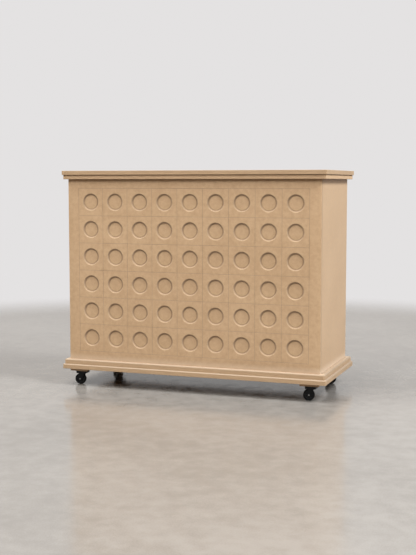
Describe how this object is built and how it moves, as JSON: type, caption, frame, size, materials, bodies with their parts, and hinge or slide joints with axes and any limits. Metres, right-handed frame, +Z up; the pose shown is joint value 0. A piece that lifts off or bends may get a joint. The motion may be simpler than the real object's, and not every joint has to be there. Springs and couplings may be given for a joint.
{
  "type": "display cart",
  "caption": "Free-standing display counter of raw fibreboard: stepped worktop and plinth, a front with a grid of round dished recesses, open back with shelves, swivel casters.",
  "frame": {"origin": "on the floor under the middle of the cart", "axes": "+Z up, +X along the front to the viewer's right, +Y from the front to the open back"},
  "size_m": [1.236, 0.534, 0.981],
  "materials": {
    "fibreboard": "raw, sanded",
    "batten_wood": "planed softwood",
    "screw_steel": "zinc plated",
    "pin_steel": "nickel plated",
    "black_steel": "black powder coat",
    "ball_steel": "polished",
    "axle_steel": "bright zinc",
    "wheel_plastic": "moulded",
    "tyre_rubber": "matt black"
  },
  "bodies": {
    "cart": {"back_top_rail": "fibreboard", "caster_screws": "screw_steel", "centre_divider": "fibreboard", "corner_battens": "batten_wood", "floor_batten_screws": "screw_steel", "floor_battens": "batten_wood", "front_left_kingpin": "black_steel", "front_left_pad": "fibreboard", "front_left_plate": "black_steel", "front_panel": "fibreboard", "front_right_kingpin": "black_steel", "front_right_pad": "fibreboard", "front_right_plate": "black_steel", "left_shelf": "fibreboard", "left_side": "fibreboard", "plinth_lower": "fibreboard", "plinth_screws": "screw_steel", "plinth_upper": "fibreboard", "rear_left_kingpin": "black_steel", "rear_left_pad": "fibreboard", "rear_left_plate": "black_steel", "rear_right_kingpin": "black_steel", "rear_right_pad": "fibreboard", "rear_right_plate": "black_steel", "right_shelf": "fibreboard", "right_side": "fibreboard", "shelf_pins": "pin_steel", "worktop_batten_screws": "screw_steel", "worktop_battens": "batten_wood", "worktop_lower": "fibreboard", "worktop_screws": "screw_steel", "worktop_upper": "fibreboard"},
    "front_left_swivel": {"front_left_balls": "ball_steel", "front_left_fork": "black_steel", "front_left_axle": "axle_steel", "front_left_axle_nut": "axle_steel"},
    "front_left_wheel": {"front_left_wheel_core": "wheel_plastic", "front_left_tyre": "tyre_rubber"},
    "front_right_swivel": {"front_right_balls": "ball_steel", "front_right_fork": "black_steel", "front_right_axle": "axle_steel", "front_right_axle_nut": "axle_steel"},
    "front_right_wheel": {"front_right_wheel_core": "wheel_plastic", "front_right_tyre": "tyre_rubber"},
    "rear_left_swivel": {"rear_left_balls": "ball_steel", "rear_left_fork": "black_steel", "rear_left_axle": "axle_steel", "rear_left_axle_nut": "axle_steel"},
    "rear_left_wheel": {"rear_left_wheel_core": "wheel_plastic", "rear_left_tyre": "tyre_rubber"},
    "rear_right_swivel": {"rear_right_balls": "ball_steel", "rear_right_fork": "black_steel", "rear_right_axle": "axle_steel", "rear_right_axle_nut": "axle_steel"},
    "rear_right_wheel": {"rear_right_wheel_core": "wheel_plastic", "rear_right_tyre": "tyre_rubber"}
  },
  "joints": [
    {"name": "front_left_swivel_turn", "type": "hinge", "parent": "cart", "child": "front_left_swivel", "pos_m": [-0.543, -0.212, 0.0645], "axis": [0, 0, 1], "continuous": true},
    {"name": "front_left_wheel_roll", "type": "hinge", "parent": "front_left_swivel", "child": "front_left_wheel", "pos_m": [-0.55295, -0.21305, 0.025], "axis": [-0.1045, 0.9945, 0], "continuous": true},
    {"name": "front_right_swivel_turn", "type": "hinge", "parent": "cart", "child": "front_right_swivel", "pos_m": [0.543, -0.212, 0.0645], "axis": [0, 0, 1], "continuous": true},
    {"name": "front_right_wheel_roll", "type": "hinge", "parent": "front_right_swivel", "child": "front_right_wheel", "pos_m": [0.53318, -0.21391, 0.025], "axis": [-0.1908, 0.9816, 0], "continuous": true},
    {"name": "rear_left_swivel_turn", "type": "hinge", "parent": "cart", "child": "rear_left_swivel", "pos_m": [-0.543, 0.192, 0.0645], "axis": [0, 0, 1], "continuous": true},
    {"name": "rear_left_wheel_roll", "type": "hinge", "parent": "rear_left_swivel", "child": "rear_left_wheel", "pos_m": [-0.55288, 0.19356, 0.025], "axis": [0.1564, 0.9877, 0], "continuous": true},
    {"name": "rear_right_swivel_turn", "type": "hinge", "parent": "cart", "child": "rear_right_swivel", "pos_m": [0.543, 0.192, 0.0645], "axis": [0, 0, 1], "continuous": true},
    {"name": "rear_right_wheel_roll", "type": "hinge", "parent": "rear_right_swivel", "child": "rear_right_wheel", "pos_m": [0.53302, 0.1913, 0.025], "axis": [-0.0698, 0.9976, 0], "continuous": true}
  ]
}
